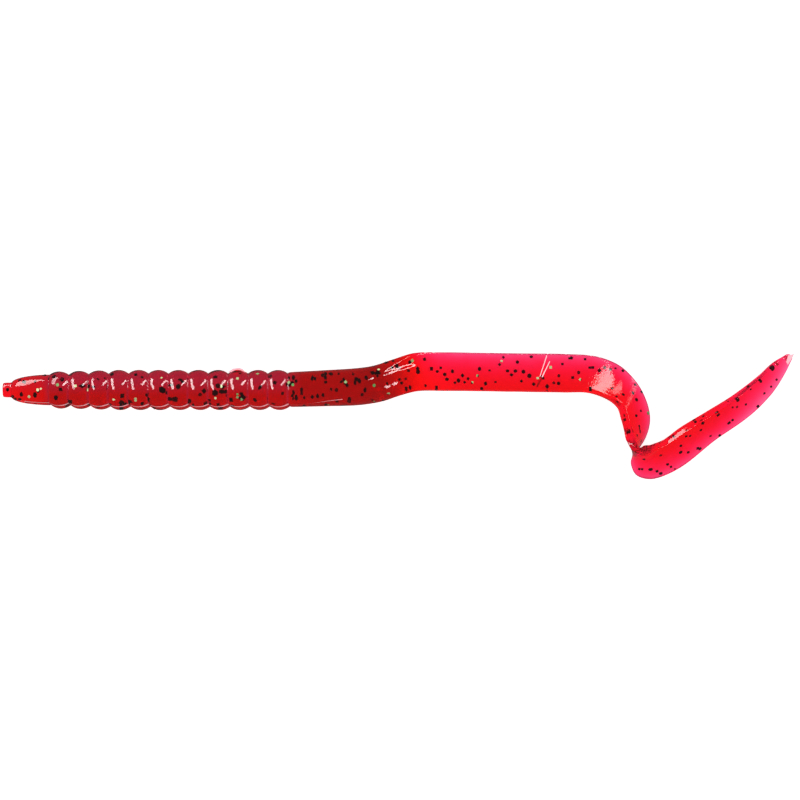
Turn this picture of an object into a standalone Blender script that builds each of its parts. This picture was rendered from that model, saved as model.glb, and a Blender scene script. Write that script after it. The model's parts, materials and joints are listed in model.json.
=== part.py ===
"""Soft plastic ribbon-tail worm, lying on a table with its ribbon half twisted.

The nose points to -X and the tail to +X. The casting is divided into rigid pieces at the places where it
flexes: every groove between two rings, and across the ribbon tail. Sizes are in millimetres, turned into
metres by MM.
"""

import math

import bmesh
import bpy
from mathutils import Vector

MM = 0.001

# The turned front: nose nib, bullet head and rings, on one straight axis along X
NIB_RADIUS = 2.25
NIB_FACE_RADIUS = 1.8
NIB_LENGTH = 2.7
HEAD_START_RADIUS = 2.75
HEAD_END_RADIUS = 4.6
RING_COUNT = 12
RING_PITCH = 5.97
FIRST_RING_X = 16.8
RING_RADIUS = 6.05
FIRST_RING_RADIUS = 5.6
RINGS_TO_FULL_SIZE = 3
GROOVE_DEPTH = 1.05
TURN_STEPS = 30
BEAD_ARC_STEPS = 6
HEAD_ARC_STEPS = 7

# Clearances at the joints
BALL_GAP = 0.3
BALL_RELIEF = math.radians(5.3)
FLAT_GAP = 0.7

# The ribbon: a wedge with one thick edge and one thin edge
RIBBON_WIDTH = 11.3
THICK_EDGE = 1.7
THIN_EDGE = 0.45
RIBBON_CORNER = 0.42
CORNER_STEPS = 5
FLAT_HALF_WIDTH = RIBBON_WIDTH / 2 - RIBBON_CORNER
LIE_FLAT = math.atan((THICK_EDGE - THIN_EDGE) / (2 * FLAT_HALF_WIDTH))
LIE_FLAT_RISE = RIBBON_WIDTH * math.sin(LIE_FLAT)

# Stations behind the rings, each a cross-section given by its two edges as seen from above:
# (x and y of the thick edge, x and y of the thin edge, how much higher the thick edge is,
#  half thickness at the thick edge, the same at the thin edge, corner radius,
#  height above the table of the section's lowest point)
STATIONS = (
    (85.4, -5.15, 85.4, 5.35, 0.0, 5.25, 5.25, 5.25, 0.75),
    (97.0, -4.9, 97.0, 6.0, 0.0, 5.45, 5.45, 5.45, 0.5),
    (107.5, -4.5, 106.3, 6.6, 0.0, 5.5, 5.5, 5.45, 0.3),
    (113.6, -3.5, 111.3, 7.35, 0.0, 4.7, 4.4, 4.3, 1.1),
    (118.9, -1.75, 116.5, 9.05, 0.0, 3.2, 2.6, 2.3, 2.4),
    (124.7, -0.2, 123.3, 11.1, 0.2, 2.1, 1.0, 0.8, 2.8),
    (132.5, 0.0, 132.0, 11.35, 0.7, 1.75, 0.5, 0.42, 1.5),
    (142.0, -0.05, 142.0, 11.25, LIE_FLAT_RISE, THICK_EDGE, THIN_EDGE, RIBBON_CORNER, 0.0),
    (155.0, -0.25, 155.0, 11.05, LIE_FLAT_RISE, THICK_EDGE, THIN_EDGE, RIBBON_CORNER, 0.0),
    (168.0, -0.45, 168.4, 10.85, LIE_FLAT_RISE, THICK_EDGE, THIN_EDGE, RIBBON_CORNER, 0.0),
    (175.5, -0.55, 178.0, 10.2, 2.6, THICK_EDGE, THIN_EDGE, RIBBON_CORNER, 0.0),
    (181.3, -2.3, 185.2, 7.4, 4.2, THICK_EDGE, THIN_EDGE, RIBBON_CORNER, 0.0),
    (184.9, -4.9, 190.3, 2.4, 6.1, THICK_EDGE, THIN_EDGE, RIBBON_CORNER, 0.0),
    (186.3, -8.7, 193.3, -3.4, 7.4, THICK_EDGE, THIN_EDGE, RIBBON_CORNER, 0.0),
    (187.3, -12.0, 194.3, -8.8, 8.6, THICK_EDGE, THIN_EDGE, RIBBON_CORNER, 0.0),
    (188.2, -15.3, 193.0, -14.0, 10.1, THICK_EDGE, THIN_EDGE, RIBBON_CORNER, 0.0),
    (189.8, -17.4, 189.7, -19.3, 11.0, THICK_EDGE, THIN_EDGE, RIBBON_CORNER, 0.0),
    (193.1, -17.7, 188.7, -21.8, 9.7, THICK_EDGE, THIN_EDGE, RIBBON_CORNER, 0.0),
    (196.3, -16.6, 190.3, -25.6, 7.6, THICK_EDGE, THIN_EDGE, RIBBON_CORNER, 0.0),
    (199.2, -15.2, 195.5, -26.7, 7.3, THICK_EDGE, THIN_EDGE, RIBBON_CORNER, 0.0),
    (203.4, -12.1, 203.8, -23.1, 7.6, THICK_EDGE, THIN_EDGE, RIBBON_CORNER, 0.0),
    (211.0, -7.5, 214.1, -15.0, 6.8, 1.6, THIN_EDGE, RIBBON_CORNER, 0.0),
    (219.9, -1.8, 224.5, -7.7, 5.2, 1.45, THIN_EDGE, RIBBON_CORNER, 0.0),
    (227.1, 3.9, 231.2, -1.0, 3.6, 1.3, THIN_EDGE, RIBBON_CORNER, 0.0),
    (231.5, 8.1, 234.8, 4.5, 1.9, 1.1, THIN_EDGE, RIBBON_CORNER, 0.0),
    (234.9, 10.3, 237.0, 8.8, 0.7, 0.75, THIN_EDGE, RIBBON_CORNER, 0.0),
)
PLAN_COLUMNS = 4
SAMPLES_PER_STATION = 12

# Pieces behind the rings: (name, length along the centreline, spacing of its cross-sections)
REAR_PIECES = (
    [("body_front", 12.2, 3.1), ("body_rear", 12.2, 3.1), ("tail_root", 15.4, 2.6)]
    + [(f"ribbon_{i:02d}", 13.0, 4.4) for i in range(1, 5)]
    + [(f"ribbon_{i:02d}", 8.2, 2.1) for i in range(5, 10)]
    + [(f"ribbon_{i:02d}", 12.4, 3.2) for i in range(10, 13)]
)
LAST_PIECE = ("ribbon_tip", 2.6)
# Joints in front of these pieces turn every way in their cone; the others only bend the ribbon flatwise
CONED_JOINTS = ("body_rear", "tail_root", "ribbon_01")

CRIMSON = (0.52, 0.01, 0.04)
RIBBON_RED = (0.85, 0.02, 0.07)


def clear_scene():
    for thing in list(bpy.data.objects):
        bpy.data.objects.remove(thing)


def soft_plastic(name, colour):
    """Glossy clear-tinted plastisol."""
    material = bpy.data.materials.new(name)
    material.use_nodes = True
    shader = material.node_tree.nodes["Principled BSDF"]
    shader.inputs["Base Color"].default_value = (*colour, 1.0)
    shader.inputs["Roughness"].default_value = 0.12
    shader.inputs["Metallic"].default_value = 0.0
    return material


def add_piece(name, mesh, colour, collection, location, rotation=(0.0, 0.0, 0.0)):
    """A named object whose origin is on its joint's axis, with its own material."""
    mesh.materials.append(soft_plastic(name + "_plastic", colour))
    piece = bpy.data.objects.new(name, mesh)
    piece.location = location
    piece.rotation_euler = rotation
    collection.objects.link(piece)
    return piece


# ---- the turned front ----


def turned_piece(name, profile, pivot_x, collection):
    """A round piece on the body's axis. profile is (x, radius) from the tail end to the nose end."""
    mesh = bpy.data.meshes.new(name)
    points = [Vector((radius * MM, 0, (x - pivot_x) * MM)) for x, radius in profile]
    mesh.from_pydata(points, [(i, i + 1) for i in range(len(points) - 1)], [])
    along_x = (0.0, math.pi / 2, 0.0)
    place = Vector((pivot_x, 0, RING_RADIUS)) * MM
    piece = add_piece(name, mesh, CRIMSON, collection, place, along_x)
    screw = piece.modifiers.new("turned", "SCREW")
    screw.axis = "Z"
    screw.steps = TURN_STEPS
    screw.render_steps = TURN_STEPS
    screw.use_merge_vertices = True
    screw.merge_threshold = 0.00001
    screw.use_smooth_shade = True
    return piece


def groove_x(k):
    """The k-th groove: 0 is between the head and the first ring, RING_COUNT behind the last ring."""
    return FIRST_RING_X + (k - 0.5) * RING_PITCH


def ring_radius(k):
    grown = min(1.0, (k - 1) / RINGS_TO_FULL_SIZE)
    return FIRST_RING_RADIUS + (RING_RADIUS - FIRST_RING_RADIUS) * grown


def rim_setback(radius):
    """How far a cone's rim stands back from its apex, so that the joint can bend."""
    return radius * math.tan(BALL_RELIEF)


def bead_profile(k):
    """A ring: two shallow cones and an arc between their rims."""
    outer = ring_radius(k)
    rim = outer - GROOVE_DEPTH
    centre = FIRST_RING_X + (k - 1) * RING_PITCH
    apex = RING_PITCH / 2 - BALL_GAP / 2
    half = apex - rim_setback(rim)
    arc_radius = (half**2 + GROOVE_DEPTH**2) / (2 * GROOVE_DEPTH)
    reach = math.asin(half / arc_radius)
    arc_centre = outer - arc_radius
    angles = [reach * (1 - 2 * i / BEAD_ARC_STEPS) for i in range(BEAD_ARC_STEPS + 1)]
    arc = [
        (centre + arc_radius * math.sin(a), arc_centre + arc_radius * math.cos(a))
        for a in angles
    ]
    return [(centre + apex, 0.0)] + arc + [(centre - apex, 0.0)]


def head_profile():
    """Cone at the first groove, ogive of the bullet head, step down to the nib, flat nose face."""
    apex = groove_x(0) - BALL_GAP / 2
    rim_x = apex - rim_setback(HEAD_END_RADIUS)
    length = rim_x - NIB_LENGTH
    ogive = []
    for i in range(HEAD_ARC_STEPS + 1):
        share = i / HEAD_ARC_STEPS
        fullness = math.sqrt(1 - share**2)
        radius = HEAD_START_RADIUS + (HEAD_END_RADIUS - HEAD_START_RADIUS) * fullness
        ogive.append((rim_x - length * share, radius))
    nib_edge = NIB_RADIUS - NIB_FACE_RADIUS
    nib = [(NIB_LENGTH, NIB_RADIUS), (nib_edge, NIB_RADIUS), (0.0, NIB_FACE_RADIUS)]
    return [(apex, 0.0)] + ogive + nib + [(0.0, 0.0)]


# ---- the lofted body, tail root and ribbon ----


def section(half_width, thick, thin, corner):
    """Rounded wedge as (across, up) points: the thick edge is at -half_width, the thin edge at +half_width.
    With equal half sizes and corner radius it is a circle."""
    points = []
    corners = ((1, 1, thin), (-1, 1, thick), (-1, -1, thick), (1, -1, thin))
    for quarter, (side, top, half_thickness) in enumerate(corners):
        radius = min(corner, half_thickness)
        centre_across = side * (half_width - radius)
        centre_up = top * (half_thickness - radius)
        for i in range(CORNER_STEPS + 1):
            turn = math.pi / 2 * (quarter + i / CORNER_STEPS)
            across = centre_across + radius * math.cos(turn)
            up = centre_up + radius * math.sin(turn)
            points.append((across, up))
    return points


def through_slope(before, after, gap_before, gap_after):
    """Slope at a knot of a line that sweeps through it."""
    return (before * gap_before + after * gap_after) / (gap_before + gap_after)


def level_slope(before, after, gap_before, gap_after):
    """Slope at a knot of a size that never overshoots: level where it stops changing."""
    if before * after <= 0:
        return 0.0
    return 2 * before * after / (before + after)


def smooth_between(rows, knots, at):
    """Cubic through the rows at their knots: the edges sweep through, the other values never overshoot."""
    last = len(knots) - 1
    i = max(j for j in range(last) if knots[j] <= at or j == 0)
    gaps = [b - a for a, b in zip(knots, knots[1:])]
    t = (at - knots[i]) / gaps[i]
    ease = t * t * (3 - 2 * t)

    def slope(j, column):
        rises = [(rows[k + 1][column] - rows[k][column]) / gaps[k] for k in range(last)]
        if j in (0, last):
            return rises[min(j, last - 1)]
        rule = through_slope if column < PLAN_COLUMNS else level_slope
        return rule(rises[j - 1], rises[j], gaps[j - 1], gaps[j])

    values = []
    for column in range(len(rows[i])):
        a, b = rows[i][column], rows[i + 1][column]
        leave, arrive = slope(i, column) * gaps[i], slope(i + 1, column) * gaps[i]
        bulge = t * (1 - t) ** 2 * leave - t * t * (1 - t) * arrive
        values.append(a * (1 - ease) + b * ease + bulge)
    return values


def wedge_frame(row):
    """(centre, across, sizes) of a row. The heights are not yet on the table."""
    thick_edge = Vector((row[0], row[1], row[4]))
    thin_edge = Vector((row[2], row[3], 0))
    across = thin_edge - thick_edge
    return (thick_edge + thin_edge) / 2, across.normalized(), (across.length / 2, *row[5:8])


def upward(tangent, across):
    return tangent.cross(across).normalized()


class Route:
    """The casting behind the rings: its centreline and cross-sections, sampled densely."""

    def __init__(self):
        middles = [((row[0] + row[2]) / 2, (row[1] + row[3]) / 2) for row in STATIONS]
        knots = [0.0]
        for a, b in zip(middles, middles[1:]):
            knots.append(knots[-1] + math.dist(a, b))
        count = (len(STATIONS) - 1) * SAMPLES_PER_STATION
        rows = [smooth_between(STATIONS, knots, knots[-1] * i / count) for i in range(count + 1)]
        frames = [wedge_frame(row) for row in rows]
        self.sizes = [sizes for _, _, sizes in frames]
        self.acrosses = [across for _, across, _ in frames]
        centres = [centre for centre, _, _ in frames]
        self.points = []
        for i, (centre, row) in enumerate(zip(centres, rows)):
            tangent = (centres[min(i + 1, count)] - centres[max(i - 1, 0)]).normalized()
            up = upward(tangent, self.acrosses[i])
            lowest = min(x * self.acrosses[i].z + y * up.z for x, y in section(*self.sizes[i]))
            self.points.append(Vector((centre.x, centre.y, row[8] - lowest)))
        self.lengths = [0.0]
        for a, b in zip(self.points, self.points[1:]):
            self.lengths.append(self.lengths[-1] + (b - a).length)

    def at(self, length):
        """(centre, tangent, across, up, section sizes) at a length along the centreline."""
        last = len(self.lengths) - 2
        i = min(last, max(j for j in range(last + 1) if self.lengths[j] <= length or j == 0))
        share = (length - self.lengths[i]) / (self.lengths[i + 1] - self.lengths[i])
        centre = self.points[i].lerp(self.points[i + 1], share)
        before, after = self.points[max(i - 1, 0)], self.points[min(i + 2, last + 1)]
        tangent = (after - before).normalized()
        across = self.acrosses[i].lerp(self.acrosses[i + 1], share).normalized()
        sizes = [a + (b - a) * share for a, b in zip(self.sizes[i], self.sizes[i + 1])]
        return centre, tangent, across, upward(tangent, across), sizes


def lofted_piece(name, route, start, end, spacing, joint_at, relief, collection):
    """A stretch of the casting from start to end along the route, with flat or coned end faces.
    relief is the cone angle at the (start, end) face."""
    count = max(2, math.ceil((end - start) / spacing))
    pivot = route.at(joint_at)[0] * MM
    mesh = bpy.data.meshes.new(name)
    shape = bmesh.new()
    rings = []
    for i in range(count + 1):
        centre, tangent, across, up, sizes = route.at(start + (end - start) * i / count)
        back = 0.0
        if i == 0:
            back = math.tan(relief[0])
        if i == count:
            back = -math.tan(relief[1])
        ring = []
        for x, y in section(*sizes):
            point = centre + across * x + up * y + tangent * back * math.hypot(x, y)
            ring.append(shape.verts.new(point * MM - pivot))
        rings.append(ring)
    sides = len(rings[0])
    for low, high in zip(rings, rings[1:]):
        for i in range(sides):
            j = (i + 1) % sides
            shape.faces.new((low[i], low[j], high[j], high[i]))
    for ring, at in ((rings[0], start), (rings[-1], end)):
        apex = shape.verts.new(route.at(at)[0] * MM - pivot)
        for i in range(sides):
            shape.faces.new((ring[i], ring[(i + 1) % sides], apex))
    bmesh.ops.remove_doubles(shape, verts=shape.verts, dist=0.000001)
    bmesh.ops.recalc_face_normals(shape, faces=shape.faces)
    shape.to_mesh(mesh)
    shape.free()
    mesh.shade_smooth()
    mesh.set_sharp_from_angle(angle=math.radians(40))
    colour = RIBBON_RED if name.startswith("ribbon") else CRIMSON
    return add_piece(name, mesh, colour, collection, pivot)


def rear_spans(route):
    """(name, start, end, spacing) of each piece behind the rings, without the gaps at its joints."""
    spans, start = [], 0.0
    for name, length, spacing in REAR_PIECES:
        spans.append((name, start, start + length, spacing))
        start += length
    spans.append((LAST_PIECE[0], start, route.lengths[-1], LAST_PIECE[1]))
    return spans


def joint_clearance(name):
    """(gap, cone angle) of the joint in front of a piece."""
    if name in CONED_JOINTS:
        return BALL_GAP, BALL_RELIEF
    return FLAT_GAP, 0.0


def make_rear(route, collection):
    spans = rear_spans(route)
    pieces = []
    for i, (name, start, end, spacing) in enumerate(spans):
        front_gap, front_relief = joint_clearance(name)
        if name == "body_front":
            front_gap, front_relief = BALL_GAP, BALL_RELIEF
        rear_gap, rear_relief = 0.0, 0.0
        if i + 1 < len(spans):
            rear_gap, rear_relief = joint_clearance(spans[i + 1][0])
        solid = (start + front_gap / 2, end - rear_gap / 2)
        relief = (front_relief, rear_relief)
        pieces.append(lofted_piece(name, route, *solid, spacing, start, relief, collection))
    return pieces


def make_front(collection):
    pieces = [turned_piece("head", head_profile(), groove_x(0), collection)]
    for k in range(1, RING_COUNT + 1):
        pieces.append(turned_piece(f"ring_{k:02d}", bead_profile(k), groove_x(k), collection))
    return pieces


def centre_on_table(pieces):
    """Parents the pieces to an empty and moves it, so that the origin is the middle of the worm's box."""
    bpy.context.view_layer.update()
    graph = bpy.context.evaluated_depsgraph_get()
    corners = []
    for piece in pieces:
        evaluated = piece.evaluated_get(graph)
        mesh = evaluated.to_mesh()
        corners += [evaluated.matrix_world @ vertex.co for vertex in mesh.vertices]
        evaluated.to_mesh_clear()
    low = [min(c[i] for c in corners) for i in range(3)]
    high = [max(c[i] for c in corners) for i in range(3)]
    base = bpy.data.objects.new("worm_base", None)
    bpy.context.scene.collection.objects.link(base)
    base.location = (-(low[0] + high[0]) / 2, -(low[1] + high[1]) / 2, -low[2])
    for piece in pieces:
        piece.parent = base
    bpy.context.view_layer.update()


def main():
    clear_scene()
    collection = bpy.data.collections.new("soft_plastic_worm")
    bpy.context.scene.collection.children.link(collection)
    route = Route()
    pieces = make_front(collection) + make_rear(route, collection)
    centre_on_table(pieces)
    return route, pieces


main()
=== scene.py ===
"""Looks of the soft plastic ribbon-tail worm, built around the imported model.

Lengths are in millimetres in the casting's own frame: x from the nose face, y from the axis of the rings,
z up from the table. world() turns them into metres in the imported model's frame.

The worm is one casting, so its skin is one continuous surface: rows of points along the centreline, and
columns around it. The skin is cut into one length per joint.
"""

import json
import math
import random

import bpy
import numpy as np
from mathutils import Matrix, Vector, noise

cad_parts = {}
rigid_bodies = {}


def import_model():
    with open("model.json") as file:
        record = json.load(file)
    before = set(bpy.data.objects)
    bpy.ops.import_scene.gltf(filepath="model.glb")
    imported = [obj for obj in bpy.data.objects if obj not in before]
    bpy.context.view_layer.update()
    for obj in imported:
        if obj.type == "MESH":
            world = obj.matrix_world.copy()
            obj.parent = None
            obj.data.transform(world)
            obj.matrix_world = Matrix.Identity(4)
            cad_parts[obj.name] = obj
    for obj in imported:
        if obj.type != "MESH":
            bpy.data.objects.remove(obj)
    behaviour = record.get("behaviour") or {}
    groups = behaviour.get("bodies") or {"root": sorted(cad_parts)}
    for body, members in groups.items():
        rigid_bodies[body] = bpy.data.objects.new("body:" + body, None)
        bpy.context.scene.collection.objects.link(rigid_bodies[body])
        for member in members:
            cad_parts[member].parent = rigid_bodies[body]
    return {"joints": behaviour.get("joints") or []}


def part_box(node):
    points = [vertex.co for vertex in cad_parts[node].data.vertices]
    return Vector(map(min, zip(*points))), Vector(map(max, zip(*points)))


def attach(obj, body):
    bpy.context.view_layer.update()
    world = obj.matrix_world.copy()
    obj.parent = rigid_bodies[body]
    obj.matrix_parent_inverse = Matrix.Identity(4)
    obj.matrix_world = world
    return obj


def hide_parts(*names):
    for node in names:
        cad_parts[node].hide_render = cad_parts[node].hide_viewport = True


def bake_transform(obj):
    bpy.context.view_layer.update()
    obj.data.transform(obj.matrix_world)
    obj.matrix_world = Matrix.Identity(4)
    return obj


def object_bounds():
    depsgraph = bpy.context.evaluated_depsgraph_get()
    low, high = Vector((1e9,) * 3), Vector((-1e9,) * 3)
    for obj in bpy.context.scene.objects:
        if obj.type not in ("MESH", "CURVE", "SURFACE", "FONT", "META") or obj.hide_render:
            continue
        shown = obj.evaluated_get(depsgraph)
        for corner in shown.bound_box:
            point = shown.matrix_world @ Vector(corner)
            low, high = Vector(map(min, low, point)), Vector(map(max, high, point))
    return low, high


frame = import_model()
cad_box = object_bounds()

MM = 0.001

# ---- sizes shared with the CAD source ----
NIB_RADIUS = 2.25
NIB_LENGTH = 2.7
HEAD_END_RADIUS = 4.6
RING_COUNT = 12
RING_PITCH = 5.97
FIRST_RING_X = 16.8
RING_RADIUS = 6.05
FIRST_RING_RADIUS = 5.6
RINGS_TO_FULL_SIZE = 3
GROOVE_DEPTH = 1.05
RIBBON_WIDTH = 11.3
THICK_EDGE = 1.7
THIN_EDGE = 0.45
RIBBON_CORNER = 0.42
FLAT_HALF_WIDTH = RIBBON_WIDTH / 2 - RIBBON_CORNER
LIE_FLAT = math.atan((THICK_EDGE - THIN_EDGE) / (2 * FLAT_HALF_WIDTH))
LIE_FLAT_RISE = RIBBON_WIDTH * math.sin(LIE_FLAT)

# Cross-sections behind the rings, as in the CAD source: (x and y of the thick edge, x and y of the thin
# edge, how much higher the thick edge is, half thickness at the thick edge, the same at the thin edge,
# corner radius, height above the table of the section's lowest point)
STATIONS = (
    (85.4, -5.15, 85.4, 5.35, 0.0, 5.25, 5.25, 5.25, 0.75),
    (97.0, -4.9, 97.0, 6.0, 0.0, 5.45, 5.45, 5.45, 0.5),
    (107.5, -4.5, 106.3, 6.6, 0.0, 5.5, 5.5, 5.45, 0.3),
    (113.6, -3.5, 111.3, 7.35, 0.0, 4.7, 4.4, 4.3, 1.1),
    (118.9, -1.75, 116.5, 9.05, 0.0, 3.2, 2.6, 2.3, 2.4),
    (124.7, -0.2, 123.3, 11.1, 0.2, 2.1, 1.0, 0.8, 2.8),
    (132.5, 0.0, 132.0, 11.35, 0.7, 1.75, 0.5, 0.42, 1.5),
    (142.0, -0.05, 142.0, 11.25, LIE_FLAT_RISE, THICK_EDGE, THIN_EDGE, RIBBON_CORNER, 0.0),
    (155.0, -0.25, 155.0, 11.05, LIE_FLAT_RISE, THICK_EDGE, THIN_EDGE, RIBBON_CORNER, 0.0),
    (168.0, -0.45, 168.4, 10.85, LIE_FLAT_RISE, THICK_EDGE, THIN_EDGE, RIBBON_CORNER, 0.0),
    (175.5, -0.55, 178.0, 10.2, 2.6, THICK_EDGE, THIN_EDGE, RIBBON_CORNER, 0.0),
    (181.3, -2.3, 185.2, 7.4, 4.2, THICK_EDGE, THIN_EDGE, RIBBON_CORNER, 0.0),
    (184.9, -4.9, 190.3, 2.4, 6.1, THICK_EDGE, THIN_EDGE, RIBBON_CORNER, 0.0),
    (186.3, -8.7, 193.3, -3.4, 7.4, THICK_EDGE, THIN_EDGE, RIBBON_CORNER, 0.0),
    (187.3, -12.0, 194.3, -8.8, 8.6, THICK_EDGE, THIN_EDGE, RIBBON_CORNER, 0.0),
    (188.2, -15.3, 193.0, -14.0, 10.1, THICK_EDGE, THIN_EDGE, RIBBON_CORNER, 0.0),
    (189.8, -17.4, 189.7, -19.3, 11.0, THICK_EDGE, THIN_EDGE, RIBBON_CORNER, 0.0),
    (193.1, -17.7, 188.7, -21.8, 9.7, THICK_EDGE, THIN_EDGE, RIBBON_CORNER, 0.0),
    (196.3, -16.6, 190.3, -25.6, 7.6, THICK_EDGE, THIN_EDGE, RIBBON_CORNER, 0.0),
    (199.2, -15.2, 195.5, -26.7, 7.3, THICK_EDGE, THIN_EDGE, RIBBON_CORNER, 0.0),
    (203.4, -12.1, 203.8, -23.1, 7.6, THICK_EDGE, THIN_EDGE, RIBBON_CORNER, 0.0),
    (211.0, -7.5, 214.1, -15.0, 6.8, 1.6, THIN_EDGE, RIBBON_CORNER, 0.0),
    (219.9, -1.8, 224.5, -7.7, 5.2, 1.45, THIN_EDGE, RIBBON_CORNER, 0.0),
    (227.1, 3.9, 231.2, -1.0, 3.6, 1.3, THIN_EDGE, RIBBON_CORNER, 0.0),
    (231.5, 8.1, 234.8, 4.5, 1.9, 1.1, THIN_EDGE, RIBBON_CORNER, 0.0),
    (234.9, 10.3, 237.0, 8.8, 0.7, 0.75, THIN_EDGE, RIBBON_CORNER, 0.0),
)
PLAN_COLUMNS = 4
SAMPLES_PER_STATION = 48
REAR_START = STATIONS[0][0]

# ---- the skin's own detail ----
COLUMNS = 96
QUARTER = COLUMNS // 4
ARC_WEIGHT = 4.0  # columns crowd into the small corners of the ribbon
# The two halves of the mould don't quite meet: the lower half is cast further back, below a parting ridge
PARTING_COLUMN = 39
MOULD_SHIFT = 0.55
MOULD_STEP_COLUMNS = 2.5
PARTING_RIDGE = 0.1
PINCH = 0.7
PINCH_COLUMNS = 3.2
PARTING_ROLL = 5.0  # columns that the parting line climbs along the smooth body
EDGE_RIDGE = 0.3  # the ribbon's thick edge is two facets that meet at the parting line
BEAD_ROWS = (1.0, 0.965, 0.91, 0.82, 0.7, 0.55, 0.38, 0.2)
HEAD_ROWS = 18
NIB_PROFILE = (
    (0.16, 0.5), (0.1, 1.05), (0.03, 1.5), (0.0, 1.74), (0.06, 1.93), (0.2, 2.08), (0.45, 2.18),
    (0.9, 2.23), (1.5, NIB_RADIUS), (2.1, NIB_RADIUS), (2.4, 2.28), (2.6, 2.36),
)
FILLET_RADIUS = 2.32  # the head swells softly out of the nib
HEAD_FULLNESS = 1.1
SHOULDER_LENGTH = 1.3
SHOULDER_DROP = 0.3
# Spacing of rows along the centreline behind the rings: (up to this length, spacing)
ROW_SPACING = (
    (0.25, 0.1), (1.8, 0.17), (17.0, 0.8), (41.0, 0.42), (74.0, 0.6), (79.6, 0.17), (86.0, 0.5),
    (127.0, 0.42), (172.0, 0.65), (200.0, 0.3),
)
TIP_ROUNDING = ((0.35, 0.93), (0.65, 0.78), (0.88, 0.55), (1.0, 0.28))
# Where along the casting its form changes: (start, end) of each change
MOULD_SHIFT_GROWS = (4.0, 11.0)
MOULD_SHIFT_FADES = (92.0, 106.0)
PARTING_CLIMBS = (88.0, 103.0)
PARTING_RETURNS = (103.0, 114.0)
EDGE_RIDGE_GROWS = (116.0, 132.0)

# ---- where the colour changes along the casting, and by how much ----
NOSE_PALENESS, NOSE_PALE_ENDS = 0.3, (9.0, 15.0)
SMOOTH_DEPTH, SMOOTH_DEEPENS = 0.3, (82.0, 90.0)
ROOT_DEPTH, ROOT_DEEPENS = 0.5, (106.0, 113.0)
DEPTH_ENDS = (119.0, 127.0)
TIP_PALENESS, TIP_PALES = 0.25, (235.0, 252.0)
# Painted shade, mixed over the tint in a dark wine colour: on the far side of the rings, along the ribbon's
# thin edge and in the grooves
PAINTED_SHADE_SIDE = (-0.3, 0.5)  # share of the half width where the painted shade starts, and where it is full
PAINTED_SHADE_SIDE_ENDS = (84.0, 90.0)
NOSE_PAINTED_SHADE = 0.4
NOSE_PAINTED_SHADE_ENDS = (10.0, 16.0)
PAINTED_SHADE_RIM = (5, 9)  # columns from the middle of the ribbon's thin edge over which its painted dark outline fades out
PAINTED_SHADE_RIM_GROWS = (108.0, 124.0)
# Painted shade in the grooves: how strong it is, and the distance over which it fades
GROOVE_PAINTED_SHADE = 1.4
GROOVE_PAINTED_SHADE_FADES = (0.1, 0.5)  # distance from the bottom of the groove


def world(point):
    return ORIGIN + Vector(point) * MM


ring_low, ring_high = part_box("ring_06")
ORIGIN = Vector((
    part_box("head")[0].x,
    (ring_low.y + ring_high.y) / 2,
    (ring_low.z + ring_high.z) / 2 - RING_RADIUS * MM,
))


# ---- the centreline behind the rings, as in the CAD source ----


def through_slope(before, after, gap_before, gap_after):
    """Slope at a knot of a line that sweeps through it."""
    return (before * gap_before + after * gap_after) / (gap_before + gap_after)


def level_slope(before, after, gap_before, gap_after):
    """Slope at a knot of a size that never overshoots: level where it stops changing."""
    if before * after <= 0:
        return 0.0
    return 2 * before * after / (before + after)


def smooth_between(rows, knots, at):
    """Cubic through the rows at their knots: the edges sweep through, the other values never overshoot."""
    last = len(knots) - 1
    i = max(j for j in range(last) if knots[j] <= at or j == 0)
    gaps = [b - a for a, b in zip(knots, knots[1:])]
    t = (at - knots[i]) / gaps[i]
    ease = t * t * (3 - 2 * t)

    def slope(j, column):
        def rise(k):
            return (rows[k + 1][column] - rows[k][column]) / gaps[k]

        if j in (0, last):
            return rise(min(j, last - 1))
        rule = through_slope if column < PLAN_COLUMNS else level_slope
        return rule(rise(j - 1), rise(j), gaps[j - 1], gaps[j])

    values = []
    for column in range(len(rows[i])):
        a, b = rows[i][column], rows[i + 1][column]
        leave, arrive = slope(i, column) * gaps[i], slope(i + 1, column) * gaps[i]
        bulge = t * (1 - t) ** 2 * leave - t * t * (1 - t) * arrive
        values.append(a * (1 - ease) + b * ease + bulge)
    return values


def wedge_frame(row):
    """(centre, across, sizes) of a row. The heights are not yet on the table."""
    thick_edge = Vector((row[0], row[1], row[4]))
    thin_edge = Vector((row[2], row[3], 0))
    across = thin_edge - thick_edge
    return (thick_edge + thin_edge) / 2, across.normalized(), (across.length / 2, *row[5:8])


def upward(tangent, across):
    return tangent.cross(across).normalized()


def outline_point(column, half_width, thick, thin, corner, edge_ridge=0.0):
    """A point of the rounded wedge as (across, up). Column 0 is the middle of the thin edge, and the columns
    run over the top to the thick edge and back underneath. With equal sizes it is a circle."""
    quarter = int(column // QUARTER) % 4
    share = (column % QUARTER) / QUARTER
    side = 1 if quarter in (0, 3) else -1
    top = 1 if quarter in (0, 1) else -1
    if quarter in (1, 3):
        share = 1 - share
    half_thickness = thin if side > 0 else thick
    radius = min(corner, half_thickness)
    edge = half_thickness - radius
    arc = radius * math.pi / 2 * ARC_WEIGHT
    flat = half_width - radius
    along = share * (edge + arc + flat)
    if along < edge:
        out = edge_ridge * (1 - along / edge) if side < 0 else 0.0
        return side * (half_width + out), top * along
    if along <= edge + arc or flat < 1e-6:
        turn = min(1.0, (along - edge) / arc) * math.pi / 2
        return side * (flat + radius * math.cos(turn)), top * (edge + radius * math.sin(turn))
    inward = (along - edge - arc) / flat
    middle = (thick + thin) / 2
    return side * flat * (1 - inward), top * (half_thickness + (middle - half_thickness) * inward)


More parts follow.
